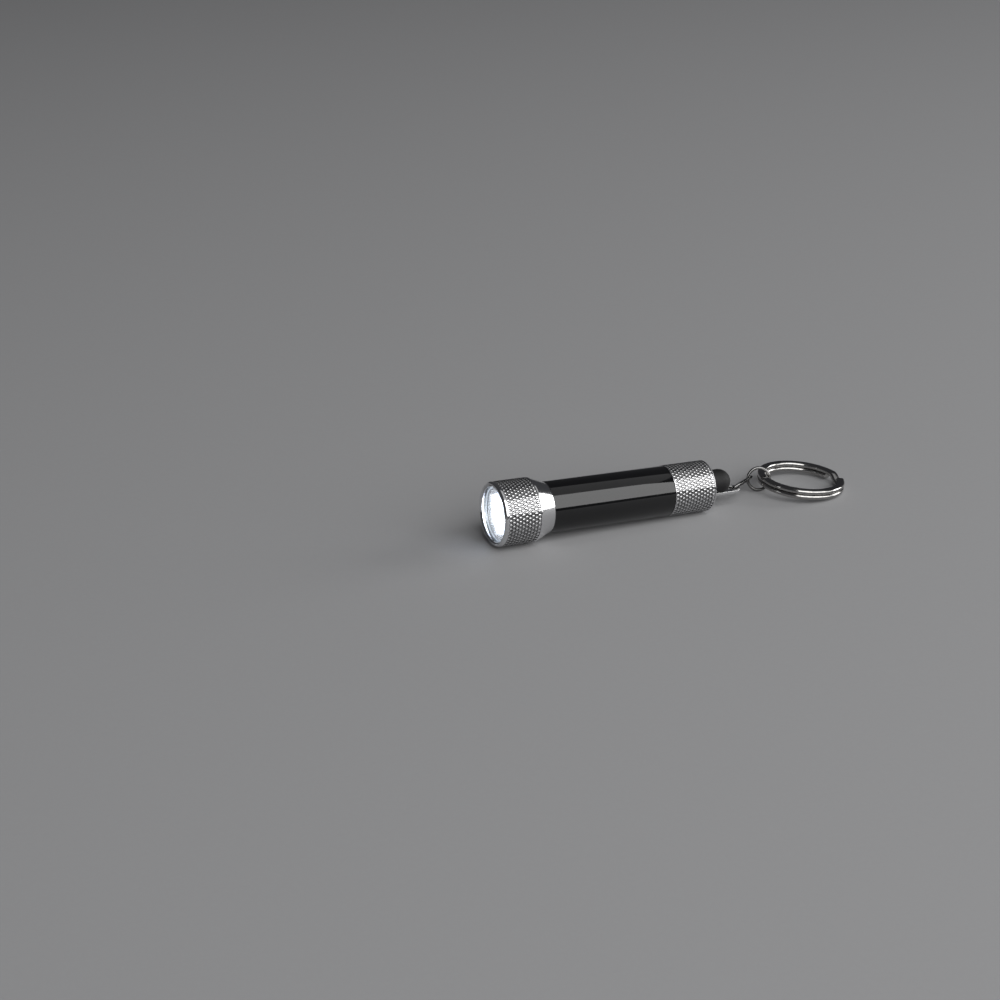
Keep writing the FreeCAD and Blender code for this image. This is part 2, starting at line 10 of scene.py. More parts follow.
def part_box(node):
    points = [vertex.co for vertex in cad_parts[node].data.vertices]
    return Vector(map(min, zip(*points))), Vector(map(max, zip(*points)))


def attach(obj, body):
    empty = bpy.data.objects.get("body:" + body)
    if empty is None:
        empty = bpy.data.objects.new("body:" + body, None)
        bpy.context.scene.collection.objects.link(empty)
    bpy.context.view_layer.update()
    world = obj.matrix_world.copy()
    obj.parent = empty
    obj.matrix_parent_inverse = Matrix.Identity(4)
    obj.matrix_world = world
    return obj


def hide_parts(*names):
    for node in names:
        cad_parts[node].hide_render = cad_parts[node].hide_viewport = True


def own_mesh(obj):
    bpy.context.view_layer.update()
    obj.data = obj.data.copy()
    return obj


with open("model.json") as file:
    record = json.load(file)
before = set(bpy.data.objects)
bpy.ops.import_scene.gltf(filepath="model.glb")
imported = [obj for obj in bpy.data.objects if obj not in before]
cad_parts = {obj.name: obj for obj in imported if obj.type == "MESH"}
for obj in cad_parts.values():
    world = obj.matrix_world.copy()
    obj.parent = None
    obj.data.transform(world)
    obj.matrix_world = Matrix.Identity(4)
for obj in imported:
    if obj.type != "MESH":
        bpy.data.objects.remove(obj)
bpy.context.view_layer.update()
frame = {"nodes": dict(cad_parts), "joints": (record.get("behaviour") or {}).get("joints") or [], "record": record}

bl_info = {
    "name": "Keychain Flashlight",
    "version": (1, 0, 0),
    "blender": (4, 5, 0),
    "location": "3D View > Sidebar > Flashlight",
    "description": "Builds a knurled keychain flashlight on its packed frame",
    "category": "Add Mesh",
}

MM = 0.001
NODES = frame["nodes"]
JOINTS = {joint["name"]: joint for joint in frame["joints"]}
NODE_SLOT = {part["node"]: part["material_slot"] for part in frame["record"]["subparts"]}


def half_height(node):
    """A round node's radius, from its height."""
    low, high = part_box(node)
    return (high.z - low.z) / 2


# Sizes in metres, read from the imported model
HEAD_RADIUS = half_height("head_shell")
BARREL_RADIUS = half_height("barrel")
CAP_RADIUS = half_height("tail_cap")
HEAD_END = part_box("head_shell")[1].x
NECK_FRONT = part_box("barrel")[0].x
BARREL_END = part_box("barrel")[1].x
SPIGOT_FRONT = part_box("tail_cap")[0].x
CAP_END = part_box("tail_cap")[1].x
CAP_FRONT = BARREL_END + 0.05 * MM  # running gap at the barrel's end
LUG_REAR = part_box("boot_flange")[1].x + 0.8 * MM

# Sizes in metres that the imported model's boxes don't give
KNURL_END = 10.8 * MM
FRONT_POCKET = 8.1 * MM
REAR_POCKET = 7.4 * MM
SHELF = 3.6 * MM
BOARD_BACK = 10.5 * MM
HEAD_BORE = 6.45 * MM
HEAD_BEVEL = 0.45 * MM
NECK_RADIUS = 6.4 * MM
NECK_BORE = 5.0 * MM
NECK_THREAD_END = 13.7 * MM
NECK_THREAD_LENGTH = 2.2 * MM
NECK_GROOVE = 14.1 * MM
NECK_GROOVE_DEPTH = 0.65 * MM
BARREL_BORE = 6.2 * MM
MOUTH_BORE = 6.4 * MM
MOUTH_FRONT = SPIGOT_FRONT - 0.3 * MM
STOP_BACK = HEAD_END + 1.55 * MM
SPIGOT_RADIUS = 6.35 * MM
SPIGOT_BORE = 5.6 * MM
SPIGOT_THREAD_END = 50.3 * MM
SPIGOT_THREAD_LENGTH = 3.0 * MM
CAP_OPENING = 4.9 * MM
CAP_CHAMFER = 0.75 * MM
CAP_GROOVE = 50.7 * MM
CAP_GROOVE_DEPTH = 0.45 * MM
GROOVE_WIDTH = 0.7 * MM
THREAD_DEPTH = 0.2 * MM
THREAD_RIDGE = 0.17 * MM
RUN_OUT = 0.1 * MM
BAND_WALL = 0.05 * MM
LINK_BEND = 1.5 * MM
LINK_REACH = 0.45 * MM
LINK_PLAY = 0.2 * MM
RING_EDGE = 0.60 * MM
LAMP_FLANGE = 0.15 * MM
LAMP_CHAMFER = 0.1 * MM

# Edge fillets in metres, from a hairline to a wide one
HAIR = 0.03 * MM
FINE = 0.05 * MM
SOFT = 0.10 * MM
ROUND = 0.12 * MM
WIDE = 0.15 * MM

# Segments round the turned pieces
HEAD_SEGMENTS = 192
CAP_SEGMENTS = 176
LAMP_SEGMENTS = 48
LAMP_STEPS = 12

# Arcs of the chain's pieces: steps, and angles in degrees
LINK_STEPS = 28
JUMP_STEPS = 120
JUMP_START = 128.35
JUMP_SWEEP = 359.3
COIL_STEPS = 360
COIL_FIRST = 30.3
CLIMB_START = 363.0
CLIMB_END = 381.0
COIL_LAST = 713.7
EDGE_STEPS = 5

FLOOR_REACH = 12.0

# Slope that lays the head and the cap on the floor together
REST_SLOPE = math.atan2(HEAD_RADIUS - CAP_RADIUS, CAP_END - CAP_CHAMFER - KNURL_END)


# ---- Settings ----

def distance(name, description, default):
    """A length property with its default in millimetres."""
    return FloatProperty(name=name, description=description, default=default * MM, unit="LENGTH", precision=5)


def tint(name, description, default):
    """A colour property."""
    return FloatVectorProperty(name=name, description=description, default=default, subtype="COLOR", size=3)


class HeadSettings(bpy.types.PropertyGroup):
    """Sizes and colour of the head."""
    around: IntProperty(
        name="Teeth Around", description="Knurl teeth in one row round the head", default=48, min=8)
    rows: IntProperty(name="Rows", description="Rows of knurl teeth along the head", default=10, min=1)
    row_pitch: distance("Row Pitch", "Distance between rows of teeth", 0.935)
    start: distance("Knurl Start", "Where the knurled band starts behind the front rim", 1.05)
    depth: distance("Knurl Depth", "Height of the teeth", 0.28)
    colour: tint("Metal", "Colour of the polished metal", (0.82, 0.82, 0.83))


class CapSettings(bpy.types.PropertyGroup):
    """Sizes and colour of the tail cap."""
    around: IntProperty(
        name="Teeth Around", description="Knurl teeth in one row round the cap", default=40, min=8)
    rows: IntProperty(name="Rows", description="Rows of knurl teeth along the cap", default=13, min=1)
    row_pitch: distance("Row Pitch", "Distance between rows of teeth", 0.935)
    start: distance("Knurl Start", "Gap from the cap's front edge to the knurled band", 0.1)
    depth: distance("Knurl Depth", "Height of the teeth", 0.26)
    colour: tint("Metal", "Colour of the polished metal", (0.82, 0.82, 0.83))


class BarrelSettings(bpy.types.PropertyGroup):
    """Thread and colour of the barrel."""
    thread_pitch: distance("Thread Pitch", "Distance between turns of the screw threads", 0.75)
    colour: tint("Coating", "Colour of the gloss coating", (0.003, 0.003, 0.0032))


class ChainSettings(bpy.types.PropertyGroup):
    """Sizes and colour of the link and the rings."""
    wire: distance("Link Wire", "Thickness of the link's wire", 0.8)
    ring_wire: distance("Jump Ring Wire", "Thickness of the jump ring's wire", 0.85)
    jump_radius: distance("Jump Ring Radius", "Radius of the jump ring at the middle of its wire", 3.175)
    split_radius: distance("Split Ring Radius", "Outer radius of the split ring", 12.5)
    split_width: distance("Coil Width", "Width of the split ring's flat wire", 2.3)
    coil_height: distance("Coil Height", "Height of one coil", 1.35)
    coil_gap: distance("Coil Gap", "Gap between the two coils", 0.1)
    colour: tint("Nickel", "Colour of the dark nickel plate", (0.40, 0.395, 0.39))


class LampSettings(bpy.types.PropertyGroup):
    """Light of the emitters."""
    glow: tint("Glow", "Colour of the light", (0.88, 0.94, 1.0))
    strength: FloatProperty(
        name="Strength", description="Brightness of the emitters", default=12.0, min=0.0)


class StageSettings(bpy.types.PropertyGroup):
    """Floor and camera."""
    floor_colour: tint("Floor", "Colour of the floor", (0.32, 0.32, 0.325))
    focal: FloatProperty(
        name="Focal Length", description="Focal length of the camera in millimetres", default=74.58)


SETTINGS = (
    ("flashlight_head", HeadSettings),
    ("flashlight_cap", CapSettings),
    ("flashlight_barrel", BarrelSettings),
    ("flashlight_chain", ChainSettings),
    ("flashlight_lamp", LampSettings),
    ("flashlight_stage", StageSettings))


# ---- Shader helpers ----

def feed(tree, node, values):
    """Set a node's inputs; each value is a plain one or a socket to link."""
    for key, value in values.items():
        if isinstance(value, bpy.types.NodeSocket):
            tree.links.new(value, node.inputs[key])
        else:
            node.inputs[key].default_value = value


def add_node(tree, kind, values=None, **settings):
    """A node with its settings and its inputs."""
    node = tree.nodes.new(kind)
    for key, value in settings.items():
        setattr(node, key, value)
    feed(tree, node, values or {})
    return node


def calculate(tree, operation, *operands, clamp=False):
    """A Math node's result; each operand is a number or a socket."""
    node = add_node(tree, "ShaderNodeMath", dict(enumerate(operands)), operation=operation, use_clamp=clamp)
    return node.outputs[0]


def ramp(tree, value, low, high, to_low=0.0, to_high=1.0):
    """A clamped Map Range node's result."""
    node = add_node(tree, "ShaderNodeMapRange", {
        "Value": value, "From Min": low, "From Max": high, "To Min": to_low, "To Max": to_high})
    return node.outputs["Result"]


def blend_colour(tree, factor, first, second):
    """A colour mix; each colour is a tuple or a socket."""
    first, second = (value if isinstance(value, bpy.types.NodeSocket) else (*value[:3], 1.0)
                     for value in (first, second))
    return add_node(tree, "ShaderNodeMix", {"Factor": factor, 6: first, 7: second}, data_type="RGBA").outputs[2]


def edge_mark(tree):
    """The number that a mesh stores for each vertex in its edge attribute."""
    node = add_node(tree, "ShaderNodeAttribute", attribute_type="GEOMETRY", attribute_name="edge")
    return node.outputs["Fac"]


def noise(tree, vector, scale, detail=2.0, dimensions="3D"):
    """A Noise Texture's value; the scale is in features per metre."""
    node = add_node(tree, "ShaderNodeTexNoise", noise_dimensions=dimensions)
    feed(tree, node, {"W" if dimensions == "1D" else "Vector": vector, "Scale": scale, "Detail": detail})
    return node.outputs["Fac"]


def node_group(name, kind, inputs, outputs):
    """A new node group with its sockets; returns the tree, its input sockets and its output node."""
    tree = bpy.data.node_groups.new(name, kind)
    for label, socket_kind, default in inputs:
        socket = tree.interface.new_socket(label, in_out="INPUT", socket_type="NodeSocket" + socket_kind)
        if default is not None:
            socket.default_value = default
    for label, socket_kind in outputs:
        tree.interface.new_socket(label, in_out="OUTPUT", socket_type="NodeSocket" + socket_kind)
    return tree, tree.nodes.new("NodeGroupInput").outputs, tree.nodes.new("NodeGroupOutput")


def effect_group(name, label, default, output):
    """A shader group that turns a position and one number into a value."""
    return node_group(name, "ShaderNodeTree", (("Position", "Vector", None), (label, "Float", default)),
                      ((output, "Float"),))


def make_turned_lines():
    """Fine rings round the flashlight's axis, left by the lathe."""
    tree, given, result = effect_group("turned_lines", "Lines", 9000.0, "Height")
    split = add_node(tree, "ShaderNodeSeparateXYZ", {0: given["Position"]})
    lines = noise(tree, split.outputs["X"], given["Lines"], 1.0, "1D")
    feed(tree, result, {"Height": ramp(tree, lines, 0.3, 0.7)})
    return tree


def make_fine_grain():
    """Even small grain in all directions."""
    tree, given, result = effect_group("fine_grain", "Scale", 6000.0, "Value")
    grain = noise(tree, given["Position"], given["Scale"], 3.0)
    feed(tree, result, {"Value": ramp(tree, grain, 0.3, 0.7)})
    return tree


def make_handling_marks():
    """Soft smudges with a few hairline scratches."""
    tree, given, result = effect_group("handling_marks", "Amount", 0.5, "Mask")
    smudges = ramp(tree, noise(tree, given["Position"], 260.0, 4.0), 0.48, 0.72)
    stretch = add_node(tree, "ShaderNodeMapping", {
        "Vector": given["Position"], "Scale": (350.0, 9000.0, 9000.0), "Rotation": (0.3, 0.5, 0.9)})
    hairs = ramp(tree, noise(tree, stretch.outputs["Vector"], 1.0, 1.0), 0.72, 0.78)
    both = calculate(tree, "MAXIMUM", smudges, hairs)
    feed(tree, result, {"Mask": calculate(tree, "MULTIPLY", both, given["Amount"], clamp=True)})
    return tree


def make_edge_wear():
    """Broken wear along the edges that the mesh marks."""
    tree, given, result = effect_group("edge_wear", "Amount", 0.6, "Mask")
    patches = ramp(tree, noise(tree, given["Position"], 1500.0, 3.0), 0.38, 0.6)
    worn = calculate(tree, "MULTIPLY", edge_mark(tree), patches)
    feed(tree, result, {"Mask": calculate(tree, "MULTIPLY", worn, given["Amount"], clamp=True)})
    return tree


GROUP_MAKERS = {
    "turned_lines": make_turned_lines, "fine_grain": make_fine_grain,
    "handling_marks": make_handling_marks, "edge_wear": make_edge_wear}


def use_group(tree, name, position, **values):
    """Place a shared effect in a material."""
    group = bpy.data.node_groups.get(name) or GROUP_MAKERS[name]()
    node = add_node(tree, "ShaderNodeGroup", node_tree=group)
    feed(tree, node, {"Position": position, **{key.title(): value for key, value in values.items()}})
    return node.outputs[0]


def new_material(name):
    """An empty material with a Principled BSDF and Object coordinates."""
    material = bpy.data.materials.new(name)
    material.use_nodes = True
    tree = material.node_tree
    tree.nodes.clear()
    surface = add_node(tree, "ShaderNodeBsdfPrincipled")
    add_node(tree, "ShaderNodeOutputMaterial", {"Surface": surface.outputs["BSDF"]})
    return material, tree, surface, add_node(tree, "ShaderNodeTexCoord").outputs["Object"]


def dimmed(colour, share):
    """A colour times a share, or a brighter one where the share is over 1."""
    return [channel * share for channel in colour]


def bump(tree, height, strength, distance=0.02 * MM):
    """A Bump node's normal."""
    return add_node(tree, "ShaderNodeBump", {
        "Height": height, "Strength": strength, "Distance": distance}).outputs["Normal"]


def finish(name, colour, shade, roughness, metallic=1.0, lines=0.0, grain=6000.0, relief=0.1, marks=0.4,
           wear=None, wear_amount=0.6, spread=0.06, sockets=None):
    """A worn solid finish: colour patches, marks, edge wear, turned lines or grain in the relief."""
    made = bpy.data.materials.get(name)
    if made:
        return made
    material, tree, surface, place = new_material(name)
    speckle = use_group(tree, "fine_grain", place, scale=grain)
    smudge = use_group(tree, "handling_marks", place, amount=marks)
    tone = blend_colour(tree, calculate(tree, "MULTIPLY", speckle, 0.35), colour, shade)
    tone = blend_colour(tree, calculate(tree, "MULTIPLY", smudge, 0.6), tone, shade)
    if wear:
        tone = blend_colour(tree, use_group(tree, "edge_wear", place, amount=wear_amount), tone, wear)
    gloss = ramp(tree, speckle, 0.0, 1.0, roughness - spread / 2, roughness + spread / 2)
    height = speckle
    if lines:
        turned = use_group(tree, "turned_lines", place, lines=lines)
        height = calculate(tree, "ADD", calculate(tree, "MULTIPLY", speckle, 0.3), turned)
    feed(tree, surface, {
        "Base Color": tone,
        "Roughness": calculate(tree, "ADD", gloss, calculate(tree, "MULTIPLY", smudge, 0.12), clamp=True),
        "Normal": bump(tree, height, relief), "Metallic": metallic, **(sockets or {})})
    return material


def thread_finish():
    """The bare metal that the barrel's and the cap's threads share."""
    return finish("thread_metal", (0.55, 0.55, 0.56), (0.35, 0.35, 0.36), 0.28,
                  lines=9000.0, relief=0.2, marks=0.6)


def knurl_finish(name, colour):
    """Knurled metal: bright crests, with painted shade and some grime darkening the flanks and the grooves."""
    made = bpy.data.materials.get(name)
    if made:
        return made
    material, tree, surface, place = new_material(name)
    speckle = use_group(tree, "fine_grain", place, scale=7000.0)
    smudge = use_group(tree, "handling_marks", place, amount=0.5)
    height = calculate(tree, "ADD", edge_mark(tree), calculate(tree, "MULTIPLY", speckle, 0.1))
    # Painted shade: below the crest the colour falls to a tenth, partly grime but mostly the shade that falls in
    # the grooves
    tone = blend_colour(tree, ramp(tree, height, 0.76, 1.0), dimmed(colour, 0.10), dimmed(colour, 1.12))
    feed(tree, surface, {
        "Base Color": blend_colour(tree, calculate(tree, "MULTIPLY", smudge, 0.25), tone, dimmed(colour, 0.6)),
        "Roughness": ramp(tree, height, 0.0, 1.1, 0.34, 0.14),
        "Normal": bump(tree, speckle, 0.15), "Metallic": 1.0})
    return material


def clear_finish(name, colour, ior):
    """Clear moulded plastic, faintly uneven."""
    material, tree, surface, place = new_material(name)
    speckle = use_group(tree, "fine_grain", place, scale=1800.0)
    smudge = use_group(tree, "handling_marks", place, amount=0.25)
    feed(tree, surface, {
        "Base Color": blend_colour(tree, smudge, colour, dimmed(colour, 0.94)),
        "Roughness": calculate(tree, "MULTIPLY", smudge, 0.08),
        "Normal": bump(tree, speckle, 0.02, 0.01 * MM),
        "Metallic": 0.0, "Transmission Weight": 1.0, "IOR": ior})
    return material


def lamp_finish(name, glow, strength):
    """Lit epoxy: a hot middle, a darker cup edge and a pale rim, by the mesh's own mark."""
    material, tree, surface, place = new_material(name)
    speckle = use_group(tree, "fine_grain", place, scale=2500.0)
    depth = calculate(tree, "ADD", edge_mark(tree), calculate(tree, "MULTIPLY", speckle, 0.06))
    bands = add_node(tree, "ShaderNodeValToRGB", {"Fac": depth})
    bands.color_ramp.elements[0].color = (0.25, 0.27, 0.32, 1.0)
    bands.color_ramp.elements[1].color = (1.0, 1.0, 1.0, 1.0)
    for position, level in ((0.22, 0.10), (0.45, 0.45), (0.62, 0.30), (0.80, 1.0)):
        bands.color_ramp.elements.new(position).color = (*dimmed(glow, level), 1.0)
    feed(tree, surface, {
        "Emission Color": bands.outputs["Color"], "Emission Strength": strength,
        "Base Color": blend_colour(tree, speckle, (0.80, 0.86, 0.92), (0.70, 0.78, 0.86)),
        "Roughness": ramp(tree, speckle, 0.0, 1.0, 0.04, 0.12)})
    return material


# ---- Mesh helpers ----

def new_piece(name, mesh, smooth_angle=30.0):
    """An object at the origin with a finished mesh, smooth but for its sharp edges."""
    mesh.shade_smooth()
    mesh.set_sharp_from_angle(angle=math.radians(smooth_angle))
    piece = bpy.data.objects.new(name, mesh)
    bpy.context.scene.collection.objects.link(piece)
    return piece


def set_mark(mesh, values):
    """Store one number for each vertex, which the finishes read."""
    mark = mesh.attributes.new("edge", "FLOAT", "POINT")
    mark.data.foreach_set("value", values)


def orient(mesh):
    """Turn every face outwards."""
    form = bmesh.new()
    form.from_mesh(mesh)
    bmesh.ops.recalc_face_normals(form, faces=form.faces)
    form.to_mesh(mesh)
    form.free()


def rounded(corners, steps=4):
    """A closed profile of (x, radius, mark) points from (x, radius, fillet) corners."""
    points = []
    for index, (x, r, fillet) in enumerate(corners):
        here = Vector((x, r))
        before = Vector(corners[index - 1][:2]) - here
        after = Vector(corners[(index + 1) % len(corners)][:2]) - here
        if fillet <= 0:
            points.append((x, r, 0.0))
            continue
        half = before.angle(after) / 2
        reach = min(fillet / math.tan(half), 0.45 * before.length, 0.45 * after.length)
        radius = reach * math.tan(half)
        centre = here + (before.normalized() + after.normalized()).normalized() * radius / math.sin(half)
        first = here + before.normalized() * reach - centre
        last = here + after.normalized() * reach - centre
        turn = first.angle(last)
        for step in range(steps + 1):
            share = step / steps
            spoke = (first * math.sin((1 - share) * turn) + last * math.sin(share * turn)) / math.sin(turn)
            points.append((centre.x + spoke.x, centre.y + spoke.y, 0.0 if step in (0, steps) else 1.0))
    return points


def lathe(name, profile, segments=160, y=0.0, z=0.0):
    """A closed mesh turned about an axis along X from (x, radius, mark) points."""
    verts, marks, rings = [], [], []
    for x, r, mark in profile:
        count = 1 if r < 1e-9 else segments
        first = len(verts)
        for step in range(count):
            angle = 2 * math.pi * step / segments
            verts.append((x, y + r * math.cos(angle), z + r * math.sin(angle)))
            marks.append(mark)
        rings.append([first + step % count for step in range(segments)])
    faces = []
    for index, ring in enumerate(rings):
        following = rings[(index + 1) % len(rings)]
        for step in range(segments):
            after = (step + 1) % segments
            corners = list(dict.fromkeys((ring[step], ring[after], following[after], following[step])))
            if len(corners) > 2:
                faces.append(corners)
    mesh = bpy.data.meshes.new(name)
    mesh.from_pydata(verts, [], faces)
    set_mark(mesh, marks)
    orient(mesh)
    return mesh


def turned(name, segments, corners):
    """A piece turned from (x, radius, fillet) corners."""
    return new_piece(name, lathe(name, rounded(corners), segments))


def sweep(name, path, up, section, closed, marks=None):
    """A closed mesh that carries a flat section of (outward, upward) points along a path."""
    verts, values = [], []
    count = len(path)
    for index, point in enumerate(path):
        before = path[index - 1] if closed or index else path[0]
        after = path[(index + 1) % count] if closed or index < count - 1 else path[-1]
        tangent = (after - before).normalized()
        outward = tangent.cross(up).normalized()
        upward = outward.cross(tangent).normalized()
        for across, height in section:
            verts.append(point + outward * across + upward * height)
            values.append(0.0)
    size = len(section)
    faces = []
    for index in range(count if closed else count - 1):
        here, following = index * size, (index + 1) % count * size
        for step in range(size):
            after = (step + 1) % size
            faces.append((here + step, here + after, following + after, following + step))
    if not closed:
        faces.append(tuple(range(size)))
        faces.append(tuple(range((count - 1) * size, count * size)))
    mesh = bpy.data.meshes.new(name)
    mesh.from_pydata(verts, [], faces)
    set_mark(mesh, marks or values)
    orient(mesh)
    return mesh


def round_section(radius, steps=20):
    """A circle as section points."""
    return [(radius * math.cos(2 * math.pi * step / steps), radius * math.sin(2 * math.pi * step / steps))
            for step in range(steps)]


def machined_copy(name, node, bevel=0.0, segments=2):
    """A copy of a CAD node with its triangles merged into whole faces and its sharp edges broken."""
    mesh = NODES[node].data.copy()
    mesh.materials.clear()
    form = bmesh.new()
    form.from_mesh(mesh)
    bmesh.ops.remove_doubles(form, verts=form.verts, dist=0.0005 * MM)
    bmesh.ops.dissolve_limit(form, angle_limit=math.radians(0.5), verts=form.verts, edges=form.edges)
    form.to_mesh(mesh)
    form.free()
    mesh.name = name
    if "custom_normal" in mesh.attributes:
        mesh.attributes.remove(mesh.attributes["custom_normal"])
    for polygon in mesh.polygons:
        polygon.use_smooth = True
    piece = new_piece(name, mesh)
    if bevel:
        edge = piece.modifiers.new("broken_edges", "BEVEL")
        edge.width = bevel
        edge.segments = segments
        edge.limit_method = "ANGLE"
        edge.angle_limit = math.radians(35)
        edge.harden_normals = True
        edge.use_clamp_overlap = True
        settle(piece)
    return piece


def settle(piece):
    """Turn a piece's modifiers into its plain mesh."""
    graph = bpy.context.evaluated_depsgraph_get()
    mesh = bpy.data.meshes.new_from_object(piece.evaluated_get(graph))
    piece.modifiers.clear()
    piece.data = mesh


def join(target, others):
    """Join other pieces into one, with their materials and marks."""
    with bpy.context.temp_override(
            active_object=target, object=target, selected_editable_objects=[target, *others]):
        bpy.ops.object.join()


def install(piece, body, nodes=(), materials=()):
    """Give a piece its finishes, hide the CAD nodes that it stands for and hang it on the body that it rides on.
    """
    for material in materials:
        piece.data.materials.append(material)
    if nodes:
        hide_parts(*nodes)
    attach(piece, body)
    return piece


def install_copy(name, node, bevel, body, material, segments=2):
    """A CAD node's machined copy with the given finish, installed on the given body in the node's place."""
    return install(machined_copy(name, node, bevel, segments), body, [node], [material])


# ---- Geometry node trees ----

def geometry_tree(name, inputs):
    """A new geometry tree; returns it, its input sockets and its output node."""
    tree, given, result = node_group(name, "GeometryNodeTree", inputs, (("Geometry", "Geometry"),))
    tree.is_modifier = True
    return tree, given, result


def combine(tree, **parts):
    """A vector from its X, Y and Z."""
    return add_node(tree, "ShaderNodeCombineXYZ", parts).outputs[0]


def coated(tree, geometry, material):
    """A geometry made real and given its material."""
    real = add_node(tree, "GeometryNodeRealizeInstances", {0: geometry})
    return add_node(tree, "GeometryNodeSetMaterial", {
        "Geometry": real.outputs[0], "Material": material}).outputs[0]


def make_knurl_tree():
    """Rows of teeth set in a diamond pattern round the X axis."""
    tree, given, result = geometry_tree("knurl_band", (
        ("Tooth", "Object", None), ("Material", "Material", None), ("Around", "Int", 48), ("Rows", "Int", 9),
        ("Root Radius", "Float", 8.5 * MM), ("Start", "Float", 1.3 * MM),
        ("Row Pitch", "Float", 0.935 * MM), ("Depth", "Float", 0.25 * MM)))
    radius = given["Root Radius"]
    index = add_node(tree, "GeometryNodeInputIndex").outputs[0]
    half_on = calculate(tree, "ADD", index, 0.5)
    row = calculate(tree, "FLOOR", calculate(tree, "DIVIDE", half_on, given["Around"]))
    column = calculate(tree, "SUBTRACT", index, calculate(tree, "MULTIPLY", row, given["Around"]))
    shift = calculate(tree, "MULTIPLY", calculate(tree, "MODULO", row, 2.0), 0.5)
    step = calculate(tree, "DIVIDE", 2 * math.pi, given["Around"])
    angle = calculate(tree, "MULTIPLY", calculate(tree, "ADD", column, shift), step)
    rows_in = calculate(tree, "MULTIPLY", calculate(tree, "ADD", row, 0.5), given["Row Pitch"])
    place = combine(tree, X=calculate(tree, "ADD", given["Start"], rows_in),
                    Y=calculate(tree, "MULTIPLY", radius, calculate(tree, "COSINE", angle)),
                    Z=calculate(tree, "MULTIPLY", radius, calculate(tree, "SINE", angle)))
    points = add_node(tree, "GeometryNodePoints", {
        "Count": calculate(tree, "MULTIPLY", given["Around"], given["Rows"]), "Position": place})
    half_step = calculate(tree, "MULTIPLY", step, 0.5)
    shape = add_node(tree, "GeometryNodeObjectInfo", {"Object": given["Tooth"]})
    teeth = add_node(tree, "GeometryNodeInstanceOnPoints", {
        "Points": points.outputs[0], "Instance": shape.outputs["Geometry"],
        "Rotation": combine(tree, X=calculate(tree, "SUBTRACT", angle, math.pi / 2)),
        "Scale": combine(tree, X=given["Row Pitch"], Y=calculate(tree, "MULTIPLY", radius, half_step),
                         Z=given["Depth"])})
    feed(tree, result, {0: coated(tree, teeth.outputs[0], given["Material"])})
    return tree


def make_thread_tree():
    """One ridge that winds along the X axis."""
    tree, given, result = geometry_tree("screw_thread", (
        ("Material", "Material", None), ("Radius", "Float", 6.2 * MM), ("Start", "Float", 0.0),
        ("Length", "Float", 3.0 * MM), ("Pitch", "Float", 0.75 * MM), ("Ridge", "Float", 0.2 * MM)))
    spiral = add_node(tree, "GeometryNodeCurveSpiral", {
        "Resolution": 72, "Start Radius": given["Radius"], "End Radius": given["Radius"],
        "Height": given["Length"], "Rotations": calculate(tree, "DIVIDE", given["Length"], given["Pitch"])})
    section = add_node(tree, "GeometryNodeCurvePrimitiveCircle", {"Resolution": 6, "Radius": given["Ridge"]})
    ridge = add_node(tree, "GeometryNodeCurveToMesh", {
        "Curve": spiral.outputs[0], "Profile Curve": section.outputs[0], "Fill Caps": True})
    lay = add_node(tree, "GeometryNodeTransform", {
        "Geometry": ridge.outputs[0], "Translation": combine(tree, X=given["Start"]),
        "Rotation": (0.0, math.pi / 2, 0.0)})
    feed(tree, result, {0: coated(tree, lay.outputs[0], given["Material"])})
    return tree


TREE_MAKERS = {"knurl_band": make_knurl_tree, "screw_thread": make_thread_tree}


def grown(name, tree_name, values):
    """A piece whose mesh a geometry tree makes from the given inputs."""
    tree = bpy.data.node_groups.get(tree_name) or TREE_MAKERS[tree_name]()
    piece = bpy.data.objects.new(name, bpy.data.meshes.new(name))
    bpy.context.scene.collection.objects.link(piece)
    maker = piece.modifiers.new(tree_name, "NODES")
    maker.node_group = tree
    for socket in tree.interface.items_tree:
        if socket.in_out == "INPUT" and socket.name in values:
            maker[socket.identifier] = values[socket.name]
    settle(piece)
    if not piece.data.polygons:
        raise RuntimeError("the tree %s made nothing for %s" % (tree_name, name))
    return piece


def make_tooth():
    """One knurl tooth a unit high: a four-sided pyramid with a rounded-off top, its crest marked."""
    # The marks set the knurl finish's painted shade: 0 at the root and 0.7 on the flanks go near black, 1 at the
    # crest stays bright
    levels = ((1.0, -0.15, 0.0), (0.54, 0.74, 0.70), (0.38, 0.94, 1.0), (0.20, 1.0, 1.0))
    verts, marks = [], []
    for scale, height, mark in levels:
        for x, y in ((scale, 0.0), (0.0, scale), (-scale, 0.0), (0.0, -scale)):
            verts.append((x, y, height))
            marks.append(mark)
    faces = [(3, 2, 1, 0), (12, 13, 14, 15)]
    for level in range(len(levels) - 1):
        for side in range(4):
            after = (side + 1) % 4
            faces.append((4 * level + side, 4 * level + after, 4 * level + 4 + after, 4 * level + 4 + side))
    mesh = bpy.data.meshes.new("knurl_tooth")
    mesh.from_pydata(verts, [], faces)
    set_mark(mesh, marks)
    mesh.shade_smooth()
    tooth = bpy.data.objects.new("knurl_tooth", mesh)
    bpy.context.scene.collection.objects.link(tooth)
    return tooth


def knurled(target, settings, radius, start, material):
    """Add a knurled band to a turned piece."""
    tooth = make_tooth()
    band = grown(target.name + "_band", "knurl_band", {
        "Tooth": tooth, "Material": material, "Around": settings.around, "Rows": settings.rows,
        "Root Radius": radius - settings.depth, "Start": start, "Row Pitch": settings.row_pitch,
        "Depth": settings.depth})
    bpy.data.objects.remove(tooth)
    join(target, [band])


def threaded(target, radius, start, length, pitch, material):
    """Add a screw thread to a turned piece."""
    band = grown(target.name + "_thread", "screw_thread", {
        "Material": material, "Radius": radius - THREAD_RIDGE, "Start": start, "Length": length,
        "Pitch": pitch, "Ridge": THREAD_RIDGE})
    join(target, [band])


# ---- Pieces ----

